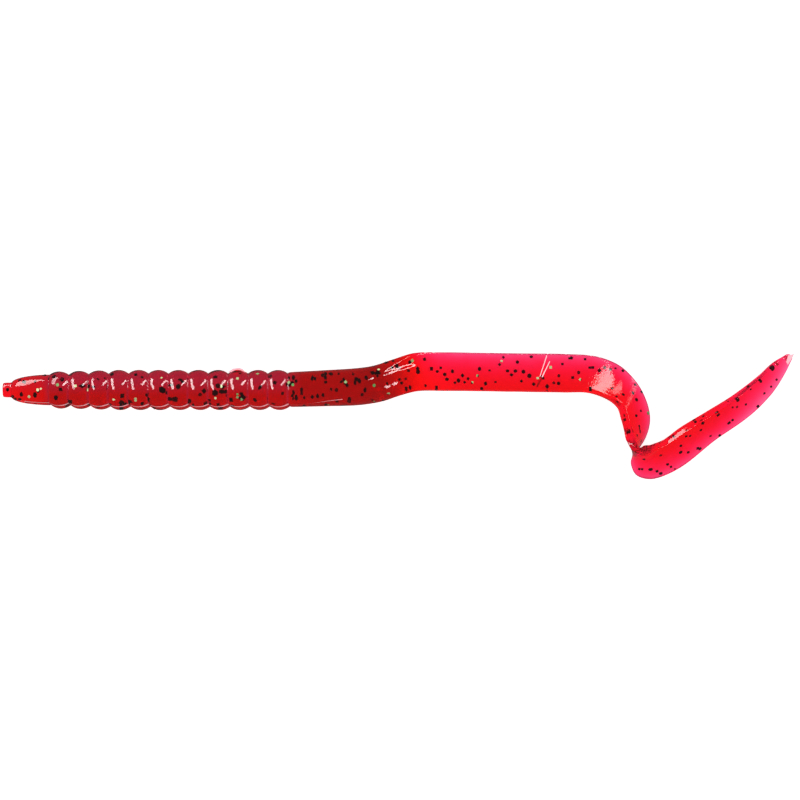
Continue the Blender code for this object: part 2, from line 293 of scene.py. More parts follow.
class Route:
    """The casting behind the rings: its centreline and cross-sections, sampled densely."""

    def __init__(self):
        middles = [((row[0] + row[2]) / 2, (row[1] + row[3]) / 2) for row in STATIONS]
        knots = [0.0]
        for a, b in zip(middles, middles[1:]):
            knots.append(knots[-1] + math.dist(a, b))
        count = (len(STATIONS) - 1) * SAMPLES_PER_STATION
        rows = [smooth_between(STATIONS, knots, knots[-1] * i / count) for i in range(count + 1)]
        frames = [wedge_frame(row) for row in rows]
        self.sizes = [sizes for _, _, sizes in frames]
        self.acrosses = [across for _, across, _ in frames]
        centres = [centre for centre, _, _ in frames]
        self.points = []
        for i, (centre, row) in enumerate(zip(centres, rows)):
            tangent = (centres[min(i + 1, count)] - centres[max(i - 1, 0)]).normalized()
            up = upward(tangent, self.acrosses[i])
            spots = (outline_point(c, *self.sizes[i]) for c in range(0, COLUMNS, 4))
            lowest = min(x * self.acrosses[i].z + y * up.z for x, y in spots)
            self.points.append(Vector((centre.x, centre.y, row[8] - lowest)))
        self.lengths = [0.0]
        for a, b in zip(self.points, self.points[1:]):
            self.lengths.append(self.lengths[-1] + (b - a).length)

    def at(self, length):
        """(centre, tangent, across, up, section sizes) at a length along the centreline."""
        last = len(self.lengths) - 2
        i = min(last, max(0, int(np.searchsorted(self.lengths, length, side="right")) - 1))
        share = (length - self.lengths[i]) / (self.lengths[i + 1] - self.lengths[i])
        centre = self.points[i].lerp(self.points[i + 1], share)
        before, after = self.points[max(i - 2, 0)], self.points[min(i + 3, last + 1)]
        tangent = (after - before).normalized()
        across = self.acrosses[i].lerp(self.acrosses[i + 1], share).normalized()
        sizes = [a + (b - a) * share for a, b in zip(self.sizes[i], self.sizes[i + 1])]
        return centre, tangent, across, upward(tangent, across), sizes


# ---- rows of the skin ----


def eased(value, start, end):
    """0 before start, 1 after end, smooth between."""
    t = min(1.0, max(0.0, (value - start) / (end - start)))
    return t * t * (3 - 2 * t)


def pinched(column):
    """Draws the columns of the turned front towards the parting line, on both sides of the casting."""
    half = COLUMNS // 2
    off = (column - PARTING_COLUMN + half / 2) % half - half / 2
    return column - off * PINCH * math.exp(-((off / PINCH_COLUMNS) ** 2))


def colour_depth(along):
    """How deep the colour is for the wall's thickness: paler in the nose and towards the tip, deeper in the
    smooth body and deepest where it flattens."""
    nose = NOSE_PALENESS * (1 - eased(along, *NOSE_PALE_ENDS))
    body = SMOOTH_DEPTH * eased(along, *SMOOTH_DEEPENS) + ROOT_DEPTH * eased(along, *ROOT_DEEPENS)
    return 1 - nose + body * (1 - eased(along, *DEPTH_ENDS)) - TIP_PALENESS * eased(along, *TIP_PALES)


def in_lower_half(column):
    """1 in the half of the mould below the parting line, 0.5 on the line, with a soft step."""
    off = QUARTER - abs((column - PARTING_COLUMN) % COLUMNS - QUARTER)
    return eased(off, -MOULD_STEP_COLUMNS, MOULD_STEP_COLUMNS)


class Row:
    """One cross-section of the skin: its points, with the depth of wall that colours each and how much
    painted shade lies on it, and how far along the casting the section lies."""

    def __init__(self, along, centre, tangent, across, up, sizes, edge_ridge=0.0, sheared=0.0, roll=0.0):
        self.along = along
        self.centre = centre
        self.tangent = tangent
        self.across = across
        self.up = up
        self.sizes = sizes
        half_width, thick, thin, _ = sizes
        self.points, self.wall, self.shade = [], [], []
        for column in range(COLUMNS):
            turned = column + (pinched(column) - column) * sheared + roll
            x, y = outline_point(turned % COLUMNS, *sizes, edge_ridge)
            shift = MOULD_SHIFT * sheared * in_lower_half(column)
            self.points.append(centre + across * x + up * y + tangent * shift)
            self.wall.append((thick + thin - (thick - thin) * x / half_width) * colour_depth(self.along))
            self.shade.append(self.painted_shade_at(x / half_width, min(column, COLUMNS - column)))

    def painted_shade_at(self, across, from_edge):
        """How much painted shade, in a dark wine colour, lies over the plastic: on the far side of the rings,
        in their grooves, and along the ribbon's thin edge."""
        # Painted shade on the far side of the rings, fading out at the smooth body and weaker on the nose
        far_side_painted_shade = eased(across, *PAINTED_SHADE_SIDE) * (1 - eased(self.along, *PAINTED_SHADE_SIDE_ENDS))
        far_side_painted_shade *= NOSE_PAINTED_SHADE + (1 - NOSE_PAINTED_SHADE) * eased(self.along, *NOSE_PAINTED_SHADE_ENDS)
        # Painted shade in the grooves between the rings
        nearest = min(max(0, round((self.along - groove_x(0)) / RING_PITCH)), RING_COUNT)
        groove_painted_shade = GROOVE_PAINTED_SHADE * (1 - eased(abs(self.along - groove_x(nearest)), *GROOVE_PAINTED_SHADE_FADES))
        # Painted shade along the ribbon's thin edge, as a dark outline
        rim_painted_shade = (1 - eased(from_edge, *PAINTED_SHADE_RIM)) * eased(self.along, *PAINTED_SHADE_RIM_GROWS)
        return max(far_side_painted_shade, rim_painted_shade, groove_painted_shade)


def ring_radius(k):
    grown = min(1.0, (k - 1) / RINGS_TO_FULL_SIZE)
    return FIRST_RING_RADIUS + (RING_RADIUS - FIRST_RING_RADIUS) * grown


def groove_x(k):
    return FIRST_RING_X + (k - 0.5) * RING_PITCH


def groove_radius(k):
    """Radius at the bottom of the k-th groove: 0 is between the head and the first ring."""
    if k == 0:
        return HEAD_END_RADIUS - 0.12
    return (ring_radius(k) + ring_radius(min(k + 1, RING_COUNT))) / 2 - GROOVE_DEPTH


def bead_radius(outer, valley, off):
    """Radius of a bead at the distance off from its middle, on an arc that ends in the groove."""
    half = RING_PITCH / 2
    depth = outer - valley
    arc = (half**2 + depth**2) / (2 * depth)
    return outer - arc + math.sqrt(arc**2 - off**2)


def front_profile():
    """(x, radius) of the nib, the bullet head and the rings."""
    profile = list(NIB_PROFILE)
    rim_x = groove_x(0) - 0.2
    length = rim_x - NIB_LENGTH
    for i in range(HEAD_ROWS + 1):
        turn = math.pi / 2 * (1 - i / HEAD_ROWS)
        radius = FILLET_RADIUS + (HEAD_END_RADIUS - FILLET_RADIUS) * math.cos(turn) ** HEAD_FULLNESS
        profile.append((rim_x - length * math.sin(turn), radius))
    for k in range(1, RING_COUNT + 1):
        middle, outer = FIRST_RING_X + (k - 1) * RING_PITCH, ring_radius(k)
        for share in BEAD_ROWS:
            off = share * RING_PITCH / 2
            profile.append((middle - off, bead_radius(outer, groove_radius(k - 1), off)))
        profile.append((middle, outer))
        for share in reversed(BEAD_ROWS[1:]):
            off = share * RING_PITCH / 2
            profile.append((middle + off, bead_radius(outer, groove_radius(k), off)))
    profile.append((groove_x(RING_COUNT), groove_radius(RING_COUNT)))
    return profile


def front_rows():
    along_x, across, up = Vector((1, 0, 0)), Vector((0, 1, 0)), Vector((0, 0, 1))
    rows = []
    for x, radius in front_profile():
        sizes = (radius, radius, radius, radius)
        sheared = eased(x, *MOULD_SHIFT_GROWS)
        rows.append(Row(x, Vector((x, 0, RING_RADIUS)), along_x, across, up, sizes, sheared=sheared))
    return rows


def rear_lengths(total):
    lengths, at = [], 0.1
    for end, spacing in ROW_SPACING:
        while at < min(end, total):
            lengths.append(at)
            at += spacing
    return lengths + [total]


def rear_rows(route):
    rows = []
    total = route.lengths[-1]
    for length in rear_lengths(total):
        centre, tangent, across, up, sizes = route.at(length)
        drop = SHOULDER_DROP * (1 - math.sqrt(1 - max(0.0, 1 - length / SHOULDER_LENGTH) ** 2))
        sizes = [size - drop for size in sizes]
        along = REAR_START + length
        flatness = eased(along, *EDGE_RIDGE_GROWS)
        sheared = 1 - eased(along, *MOULD_SHIFT_FADES)
        climb = eased(along, *PARTING_CLIMBS) * (1 - eased(along, *PARTING_RETURNS))
        ridge = EDGE_RIDGE * flatness * min(1.0, sizes[1] / THICK_EDGE)
        row = Row(along, centre, tangent, across, up, sizes, ridge, sheared, -PARTING_ROLL * climb)
        rows.append(row)
    end = rows[-1]
    for reach, share in TIP_ROUNDING:
        half_width, thick, thin, corner = end.sizes
        sizes = (half_width * share, thick * share, thin * share, corner * share)
        centre = end.centre + end.tangent * reach * half_width
        rows.append(Row(end.along + reach * half_width, centre, end.tangent, end.across, end.up, sizes))
    return rows


# ---- marks on the surface ----

PARTING_RIDGE_GROWS = (3.0, 6.0)
PARTING_RIDGE_FADES = (100.0, 107.0)
# Creases where the round core runs out into the ribbon: (x, y) of both ends, height, half width
CREASES = (
    ((112.6, 3.4), (124.0, 7.1), 0.34, 0.75),
    ((110.2, -1.1), (119.9, 1.7), 0.2, 0.3),
)
CREASES_END = 170.0
# Notches in the thin edge of the straight ribbon: the x of each
NOTCHES = (126.8, 129.1, 140.4, 163.6, 176.6)
NOTCHES_START = 120.0
NOTCHED_SIDE = 8.0  # the thin edge lies beyond this y
NOTCH_DEPTH = 0.28
NOTCH_HALF_LENGTH = 0.3
NOTCH_COLUMNS = 7
# A lump of stray plastic on the side of the tenth ring
LUMP = Vector((70.4, 5.6, 7.4))
LUMP_RADIUS = 2.4
LUMP_HEIGHT = 0.3
LUMP_WALL = 0.15  # the lump is clear, so it looks pink
TABLE_CLEARANCE = 0.02
# The casting's faint waviness: (size of the waves, height)
WAVES = ((7.0, 0.05), (2.2, 0.016))


def distance_to_segment(point, start, end):
    """(distance in plan, share along) of a point from a segment."""
    dx, dy = end[0] - start[0], end[1] - start[1]
    share = ((point.x - start[0]) * dx + (point.y - start[1]) * dy) / (dx * dx + dy * dy)
    share = min(1.0, max(0.0, share))
    off = math.hypot(point.x - start[0] - dx * share, point.y - start[1] - dy * share)
    return off, share


def mark_height(row, column, point, normal):
    """How far the surface stands out from the smooth section at a point. It is below 0 in a notch."""
    height = 0.0
    if column in (PARTING_COLUMN, PARTING_COLUMN + COLUMNS // 2):
        fade = 1 - eased(row.along, *PARTING_RIDGE_FADES)
        height += PARTING_RIDGE * eased(row.along, *PARTING_RIDGE_GROWS) * fade
    if row.along < REAR_START:
        lump = (point - LUMP).length / LUMP_RADIUS
        if lump < 1:
            height += LUMP_HEIGHT * (1 - eased(lump, 0.0, 1.0))
    elif normal.z > 0.2 and row.along < CREASES_END:
        for start, end, tall, half_width in CREASES:
            off, share = distance_to_segment(point, start, end)
            if off < 3 * half_width:
                fade = eased(share, -0.02, 0.15) * (1 - eased(share, 0.85, 1.02))
                height += tall * fade * math.exp(-((off / half_width) ** 2))
    from_edge = min(column, COLUMNS - column) / NOTCH_COLUMNS
    if row.along > NOTCHES_START and from_edge < 1 and point.y > NOTCHED_SIDE:
        for x in NOTCHES:
            off = abs(point.x - x) / NOTCH_HALF_LENGTH
            if off < 1:
                height -= NOTCH_DEPTH * (1 - off) * (1 - from_edge)
    for size, tall in WAVES:
        height += tall * noise.noise(point / size)
    return height


def eased_array(values):
    """0 at 0 and 1 from 1 on, smooth between, for an array."""
    t = np.clip(values, 0.0, 1.0)
    return t * t * (3 - 2 * t)


def surface_normals(points):
    """Outward normals of a grid of points whose columns run round the casting."""
    along = np.gradient(points, axis=0)
    around = np.roll(points, -1, axis=1) - np.roll(points, 1, axis=1)
    normals = np.cross(around, along)
    return normals / np.maximum(np.linalg.norm(normals, axis=2, keepdims=True), 1e-12)


def make_grid(rows):
    """(points, normals, walls, painted shades) of the whole skin as arrays, with the surface marks in place.
    """
    points = np.array([[tuple(p) for p in row.points] for row in rows])
    normals = surface_normals(points)
    outward = np.array([[tuple(p - row.centre) for p in row.points] for row in rows])
    if (normals * outward).sum() < 0:
        normals = -normals
    heights = np.zeros(points.shape[:2])
    for i, row in enumerate(rows):
        for column in range(COLUMNS):
            place = Vector(points[i, column])
            heights[i, column] = mark_height(row, column, place, Vector(normals[i, column]))
    points = points + normals * heights[:, :, None]
    points[:, :, 2] = np.maximum(points[:, :, 2], TABLE_CLEARANCE)
    fresh = surface_normals(points)
    if (fresh * outward).sum() < 0:
        fresh = -fresh
    clear = eased_array(np.hypot(points[:, :, 0] - LUMP.x, points[:, :, 1] - LUMP.y) / LUMP_RADIUS)
    walls = np.array([row.wall for row in rows]) * (LUMP_WALL + (1 - LUMP_WALL) * clear)
    # No painted shade on the clear lump
    painted_shades = np.array([row.shade for row in rows]) * clear
    return points, fresh, walls, painted_shades


# ---- materials ----

TINT_OF_A_MILLIMETRE = (0.93, 0.06, 0.2)
CLOUDINESS = (0.86, 1.14)  # the tint varies between these, as if the wall were thinner or thicker
# Painted shade: the dark wine colour mixed over the tint where shade and a veil of reflections fall, and the
# most of it
PAINTED_SHADE_WINE = (0.37, 0.014, 0.05)
PAINTED_SHADE_SHARE = 0.72
GLOSSY = (0.015, 0.075)  # range of the skin's roughness
PLASTISOL_IOR = 1.48
BUMP_STRENGTH = 0.12
BUMP_HEIGHT = 0.0002  # metres
# Pale pink of the flash, which also serves as a painted highlight along the parting ridge and the nick
FLASH_AND_HIGHLIGHT_PINK = (1.0, 0.45, 0.5)
BLACKS = ((0.004, 0.002, 0.003, 1), (0.05, 0.02, 0.022, 1))
GOLDS = ((0.1, 0.28, 0.08, 1), (0.75, 0.72, 0.4, 1))


def new_material(name):
    material = bpy.data.materials.new(name)
    material.use_nodes = True
    return material, material.node_tree, material.node_tree.nodes["Principled BSDF"]


def add_node(tree, kind, **settings):
    node = tree.nodes.new(kind)
    for name, value in settings.items():
        setattr(node, name, value)
    return node


def noise_at(tree, scale, detail):
    """Noise on the casting's own coordinates, so that it stays put when the worm bends."""
    place = add_node(tree, "ShaderNodeAttribute", attribute_name="casting_place")
    texture = add_node(tree, "ShaderNodeTexNoise")
    texture.inputs["Scale"].default_value = scale
    texture.inputs["Detail"].default_value = detail
    tree.links.new(place.outputs["Vector"], texture.inputs["Vector"])
    return texture.outputs["Fac"]


def mapped(tree, value, low, high):
    """Turns 0 into low and 1 into high, and goes on in proportion beyond them."""
    node = add_node(tree, "ShaderNodeMapRange")
    node.inputs["To Min"].default_value = low
    node.inputs["To Max"].default_value = high
    node.clamp = False
    tree.links.new(value, node.inputs["Value"])
    return node.outputs["Result"]


def clear_plastic():
    """Clear red plastisol. Each channel passes a share of the light per millimetre of the wall's thickness,
    so the thin edge of the ribbon is hot pink and the body deep crimson. Painted shade in a dark wine colour
    lies over that."""
    material, tree, shader = new_material("clear_red_plastic")
    wall = add_node(tree, "ShaderNodeAttribute", attribute_name="wall")
    cloud = mapped(tree, noise_at(tree, 0.22, 3.0), *CLOUDINESS)
    depth = add_node(tree, "ShaderNodeMath", operation="MULTIPLY")
    tree.links.new(wall.outputs["Fac"], depth.inputs[0])
    tree.links.new(cloud, depth.inputs[1])
    colour = add_node(tree, "ShaderNodeCombineColor")
    for channel, passed in zip(("Red", "Green", "Blue"), TINT_OF_A_MILLIMETRE):
        power = add_node(tree, "ShaderNodeMath", operation="POWER")
        power.inputs[0].default_value = passed
        tree.links.new(depth.outputs[0], power.inputs[1])
        tree.links.new(power.outputs[0], colour.inputs[channel])
    # The painted shade, a dark wine colour mixed over the tint
    shade = add_node(tree, "ShaderNodeAttribute", attribute_name="shade")
    with_painted_shade = add_node(tree, "ShaderNodeMix", data_type="RGBA")
    tree.links.new(mapped(tree, shade.outputs["Fac"], 0.0, PAINTED_SHADE_SHARE), with_painted_shade.inputs["Factor"])
    tree.links.new(colour.outputs["Color"], with_painted_shade.inputs["A"])
    with_painted_shade.inputs["B"].default_value = (*PAINTED_SHADE_WINE, 1)
    tree.links.new(with_painted_shade.outputs["Result"], shader.inputs["Base Color"])
    tree.links.new(mapped(tree, noise_at(tree, 0.9, 4.0), *GLOSSY), shader.inputs["Roughness"])
    bump = add_node(tree, "ShaderNodeBump")
    bump.inputs["Strength"].default_value = BUMP_STRENGTH
    bump.inputs["Distance"].default_value = BUMP_HEIGHT
    tree.links.new(noise_at(tree, 1.6, 2.0), bump.inputs["Height"])
    tree.links.new(bump.outputs["Normal"], shader.inputs["Normal"])
    shader.inputs["Transmission Weight"].default_value = 1.0
    shader.inputs["IOR"].default_value = PLASTISOL_IOR
    return material


def flash_and_highlight_plastic():
    """The thin pale film of plastic that leaks out between the halves of the mould. Its pale pink also stands
    as a painted highlight along the parting ridge and over the nick.
    """
    material, _, shader = new_material("parting_flash")
    shader.inputs["Base Color"].default_value = (*FLASH_AND_HIGHLIGHT_PINK, 1)
    shader.inputs["Roughness"].default_value = 0.25
    return material


def joint_face():
    """The inner face where two lengths of the one casting meet: nothing shows there."""
    material = bpy.data.materials.new("inside_of_casting")
    material.use_nodes = True
    tree = material.node_tree
    tree.nodes.remove(tree.nodes["Principled BSDF"])
    clear = add_node(tree, "ShaderNodeBsdfTransparent")
    tree.links.new(clear.outputs[0], tree.nodes["Material Output"].inputs["Surface"])
    return material


PLASTIC = clear_plastic()
INSIDE = joint_face()
FLASH_AND_HIGHLIGHT = flash_and_highlight_plastic()


def black_glitter():
    """Black foil, a little paler on some flakes."""
    material, tree, shader = new_material("black_glitter")
    ramp = add_node(tree, "ShaderNodeValToRGB")
    for element, colour in zip(ramp.color_ramp.elements, BLACKS):
        element.color = colour
    tree.links.new(noise_at(tree, 0.7, 1.0), ramp.inputs["Fac"])
    tree.links.new(ramp.outputs["Color"], shader.inputs["Base Color"])
    tree.links.new(mapped(tree, noise_at(tree, 2.0, 1.0), 0.2, 0.5), shader.inputs["Roughness"])
    return material


def gold_glitter():
    """Pale green-gold foil, whose colour turns from flake to flake."""
    material, tree, shader = new_material("gold_glitter")
    ramp = add_node(tree, "ShaderNodeValToRGB")
    for element, colour, position in zip(ramp.color_ramp.elements, GOLDS, (0.35, 0.65)):
        element.color = colour
        element.position = position
    tree.links.new(noise_at(tree, 0.5, 1.0), ramp.inputs["Fac"])
    tree.links.new(ramp.outputs["Color"], shader.inputs["Base Color"])
    tree.links.new(mapped(tree, noise_at(tree, 3.0, 1.0), 0.2, 0.4), shader.inputs["Roughness"])
    shader.inputs["Metallic"].default_value = 0.15
    return material


# ---- lengths of skin ----

SKIN_MATERIALS = (PLASTIC, INSIDE, FLASH_AND_HIGHLIGHT)
# The parting line is painted pale, partly as flash and partly as a highlight on its ridge: along the front on
# one column of faces above it and one below it, and further back only on the lower column: (start, end) along
# for each column
PARTING_SPANS = {PARTING_COLUMN - 1: (6.0, 85.5), PARTING_COLUMN: (5.0, 101.0)}
BEND_MARGIN = 0.03  # share of a bend's length that is kept clear of each cut
SEPARATING_STEPS = 200


def add_object(name, mesh):
    thing = bpy.data.objects.new(name, mesh)
    bpy.context.scene.collection.objects.link(thing)
    return thing


def keep_places(mesh, places):
    attribute = mesh.attributes.new("casting_place", "FLOAT_VECTOR", "POINT")
    attribute.data.foreach_set("vector", np.asarray(places, np.float32).ravel())


def skin_mesh(name, points, normals, walls, painted_shades, lined):
    """A closed length of the casting. Its two end faces have their own clear material, and the parting line
    its pale one: lined holds the columns of such faces behind each row."""
    rows = len(points)
    count = rows * COLUMNS
    vertices = [world(p) for p in points.reshape(-1, 3)]
    faces = []
    for i in range(rows - 1):
        for j in range(COLUMNS):
            k = (j + 1) % COLUMNS
            faces.append((i * COLUMNS + j, i * COLUMNS + k, (i + 1) * COLUMNS + k, (i + 1) * COLUMNS + j))
    sides = len(faces)
    faces.append(tuple(reversed(range(COLUMNS))))
    faces.append(tuple(range(count - COLUMNS, count)))
    mesh = bpy.data.meshes.new(name)
    mesh.from_pydata(vertices, [], faces)
    for material in SKIN_MATERIALS:
        mesh.materials.append(material)
    for polygon in mesh.polygons:
        polygon.use_smooth = polygon.index < sides
        row, column = divmod(polygon.index, COLUMNS)
        if polygon.index >= sides:
            polygon.material_index = SKIN_MATERIALS.index(INSIDE)
        elif column in lined[row]:
            # Pale faces along the parting line: partly flash, partly a painted highlight on its ridge
            polygon.material_index = SKIN_MATERIALS.index(FLASH_AND_HIGHLIGHT)
    # The wall and the painted shade go onto the mesh as attributes
    for title, values in (("wall", walls), ("shade", painted_shades)):
        attribute = mesh.attributes.new(title, "FLOAT", "POINT")
        attribute.data.foreach_set("value", values.astype(np.float32).ravel())
    keep_places(mesh, points.reshape(-1, 3))
    flat_normals = normals.reshape(-1, 3)
    corner_normals = []
    for polygon in mesh.polygons:
        for vertex in polygon.vertices:
            own = flat_normals[vertex] if polygon.index < sides else polygon.normal
            corner_normals.append(tuple(own))
    mesh.normals_split_custom_set(corner_normals)
    return mesh


def direction_between(before, after):
    """The direction in which one cut of the skin lies furthest clear of the next. It steps towards the
    shortest line between the two flat cuts."""
    gap = after.mean(axis=0) - before.mean(axis=0)
    for _ in range(SEPARATING_STEPS):
        reach = after[np.argmin(after @ gap)] - before[np.argmax(before @ gap)]
        change = gap - reach
        if change @ change < 1e-9:
            break
        gap = gap - change * min(1.0, max(0.0, gap @ change / (change @ change)))
    return gap / np.linalg.norm(gap)


class Skin:
    """The whole surface, the joints along it, and where it is cut."""

    def __init__(self, rows, joints):
        self.rows = rows
        self.points, self.normals, self.walls, self.painted_shades = make_grid(rows)
        self.lined = [
            {column for column, (start, end) in PARTING_SPANS.items() if start < row.along < end}
            for row in rows
        ]
        self.joints = joints
        centres = np.array([tuple(row.centre) for row in rows])
        self.pivot_rows = []
        for joint in joints:
            pivot = (Vector(joint["pos_m"]) - ORIGIN) / MM
            self.pivot_rows.append(int(np.argmin(np.linalg.norm(centres - np.array(pivot), axis=1))))
        pivots = [rows[i].along for i in self.pivot_rows]
        ends = [0.5 * pivots[0]]
        ends += [(a + b) / 2 for a, b in zip(pivots, pivots[1:])]
        ends.append((pivots[-1] + rows[-1].along) / 2)
        alongs = np.array([row.along for row in rows])
        self.cuts = [int(np.argmin(abs(alongs - end))) for end in ends]

    def blend_span(self, i):
        """Start and end points of the bend at the i-th joint: between the two cuts, which stay rigid."""
        pivot = np.array((Vector(self.joints[i]["pos_m"]) - ORIGIN) / MM)
        before, after = self.points[self.cuts[i]], self.points[self.cuts[i + 1]]
        clear_way = direction_between(before, after)
        start, end = ((before - pivot) @ clear_way).max(), ((after - pivot) @ clear_way).min()
        margin = BEND_MARGIN * (end - start)
        return world(pivot + clear_way * (start + margin)), world(pivot + clear_way * (end - margin))


def chain_of_joints():
    """The joints in order from the head to the tip of the tail, with the body on each side."""
    between = {frozenset((j["parent"], j["child"])): j for j in frame["joints"]}
    chain = ["head"] + [f"ring_{k:02d}" for k in range(1, RING_COUNT + 1)]
    chain += ["body_front", "body_rear", "tail_root"] + [f"ribbon_{k:02d}" for k in range(1, 13)]
    chain.append("ribbon_tip")
    joints = [between[frozenset(pair)] for pair in zip(chain, chain[1:])]
    return chain, joints


def add_skin(skin, chain):
    """The nose, one length for each joint, and the end of the tail."""
    last = len(skin.rows) - 1
    limits = [0] + skin.cuts + [last]
    for i, (first, end) in enumerate(zip(limits, limits[1:])):
        span = slice(first, end + 1)
        before, after = chain[max(0, i - 1)], chain[min(i, len(chain) - 1)]
        if i == 0:
            name = "nose"
        elif i == len(limits) - 2:
            name = "tail_end"
        else:
            name = f"skin_{before}_to_{after}"
        mesh = skin_mesh(
            name, skin.points[span], skin.normals[span], skin.walls[span], skin.painted_shades[span], skin.lined[span]
        )
        piece = add_object(name, mesh)
        if name == "nose":
            mesh.polygons[len(mesh.polygons) - 2].material_index = SKIN_MATERIALS.index(PLASTIC)
            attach(piece, "head")
            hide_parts("head")
        elif name == "tail_end":
            mesh.polygons[len(mesh.polygons) - 1].material_index = SKIN_MATERIALS.index(PLASTIC)
            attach(piece, "ribbon_tip")
            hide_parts("ribbon_tip")
        else:
            start, finish = skin.blend_span(i - 1)
            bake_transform(piece)
            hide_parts(before, after)


# ---- stray films of plastic ----

FILM_THICKNESS = 0.3
# Height of the upper face of the straight ribbon, and how much lower it is for each millimetre of y
RIBBON_TOP = 3.36
RIBBON_FALL = 0.22
# Thin pale films left by the mould; the film over the nick is a painted highlight on it: (name, corners seen
# from above, (height at y 0, fall with y), body)
FILMS = (
    ("tip_film", ((234.4, 10.0), (235.9, 7.6), (237.9, 10.9)), (1.45, 0.0), "ribbon_tip"),
    ("ring_film", ((67.6, 5.4), (72.9, 5.3), (72.0, 6.3), (70.9, 6.7), (69.0, 6.4)), (7.6, 0.0), "ring_10"),
    (
        # A pale film over the nick in the ribbon: a painted highlight
        "nick_film",
        ((163.2, 10.5), (160.1, 1.0), (160.5, 0.7), (164.3, 8.6), (164.1, 8.7), (160.5, 1.6), (163.45, 10.4)),
        (RIBBON_TOP, RIBBON_FALL),
        "ribbon_03",
    ),
)


def add_film(name, outline, slope, body):
    """A thin flat film of pale plastic, which leans with y."""
    height, fall = slope
    count = len(outline)
    corners = [
        world((x, y, height - fall * y - drop)) for drop in (FILM_THICKNESS, 0.0) for x, y in outline
    ]
    sides = [(i, (i + 1) % count, count + (i + 1) % count, count + i) for i in range(count)]
    mesh = bpy.data.meshes.new(name)
    mesh.from_pydata(corners, [], [tuple(reversed(range(count))), tuple(range(count, 2 * count)), *sides])
    mesh.materials.append(FLASH_AND_HIGHLIGHT)
    film = add_object(name, mesh)
    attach(film, body)


# ---- glitter ----

FLAKE_SEED = 11
FLAKE_THICKNESS = 0.07
FLAKE_SIZES = {"black": (0.46, 0.7), "gold": (0.36, 0.56)}
FLAKE_STRETCH = (0.8, 1.25)
HEXAGON_SHARE = 0.45
GOLD_SHARE = 0.1
CLUMP_GOLD_SHARE = 0.12
# How many flakes lie scattered between two places along the worm
FLAKE_ZONES = (
    (1.0, 13.5, 13), (14.0, 85.0, 72), (86.0, 106.0, 30), (106.0, 124.0, 26), (124.0, 150.0, 24),
    (150.0, 176.0, 26), (176.0, 206.0, 24), (206.0, 236.0, 26), (236.0, 264.0, 16),
)
# Clumps of flakes: (along, across, how many)
FLAKE_CLUMPS = (
    (5.6, -1.5, 2), (9.9, -0.3, 3), (16.5, 0.9, 3), (20.4, -3.6, 3), (26.7, 0.6, 3), (39.3, -3.6, 3),
    (34.4, -3.4, 4), (44.6, -1.4, 5), (51.2, -2.7, 5), (63.3, -3.3, 4), (65.2, 0.3, 7), (70.8, -1.9, 6),
    (86.5, 1.7, 6), (87.6, -1.6, 3), (97.0, 2.6, 5), (102.6, 0.9, 4), (112.3, 2.4, 5), (118.6, 2.6, 4),
)
CLUMP_RADIUS = 1.1
EDGE_ROOM = 0.75  # how much of a flake's radius stays inside the casting's edge
THIN_WALL = 2.0  # flakes in a wall that is thinner than this lie almost level
DEPTHS = (-0.3, 0.75)  # black flakes lie between these shares of the way from the middle to the surface
SKIN_OVER_FLAKE = 0.3
GOLD_STANDS_OUT = 0.02
ROUND_ENOUGH = 0.85  # a section whose height is this share of its width is treated as a circle
GOLD_TILT, THIN_TILT, THICK_TILT = 0.3, 0.25, 0.9  # the most that a flake leans, in radians


class Flakes:
    """Flakes of one colour in one length of the casting, gathered into one mesh."""

    def __init__(self):
        self.vertices = []
        self.faces = []
        self.places = []

    def add(self, centre, normal, radius, stretch, sides, spin):
        """A flat flake with so many sides, which is stretched one way and spun about its normal."""
        helper = Vector((0, 0, 1)) if abs(normal.z) < 0.9 else Vector((1, 0, 0))
        first = normal.cross(helper).normalized()
        second = normal.cross(first)
        base = len(self.vertices)
        for side in (-1, 1):
            for i in range(sides):
                turn = spin + 2 * math.pi * i / sides
                spot = centre + (first * math.cos(turn) * stretch + second * math.sin(turn)) * radius
                self.vertices.append(spot + normal * side * FLAKE_THICKNESS / 2)
                self.places.append(centre)
        self.faces.append(tuple(base + i for i in reversed(range(sides))))
        self.faces.append(tuple(base + sides + i for i in range(sides)))
        for i in range(sides):
            j = (i + 1) % sides
            self.faces.append((base + i, base + j, base + sides + j, base + sides + i))

    def make(self, name, material):
        mesh = bpy.data.meshes.new(name)
        mesh.from_pydata([world(v) for v in self.vertices], [], self.faces)
        mesh.materials.append(material)
        keep_places(mesh, [tuple(p) for p in self.places])
        return add_object(name, mesh)


def half_thickness_at(row, across):
    """How far up the plastic reaches from the middle plane of a section."""
    half_width, thick, thin, corner = row.sizes
    if min(thick, thin) > ROUND_ENOUGH * half_width:
        return math.sqrt(max(0.0, half_width**2 - across**2))
    level = (thick + thin) / 2 - (thick - thin) / 2 * across / half_width
    beyond = max(0.0, abs(across) - (half_width - min(corner, level)))
    return math.sqrt(max(0.0, level**2 - beyond**2))


def tilted(direction, row, tilt, heading):
    """A direction tilted from a section's up axis, towards a heading."""
    side = row.across * math.cos(heading) + row.tangent * math.sin(heading)
    return (direction * math.cos(tilt) + side * math.sin(tilt)).normalized()


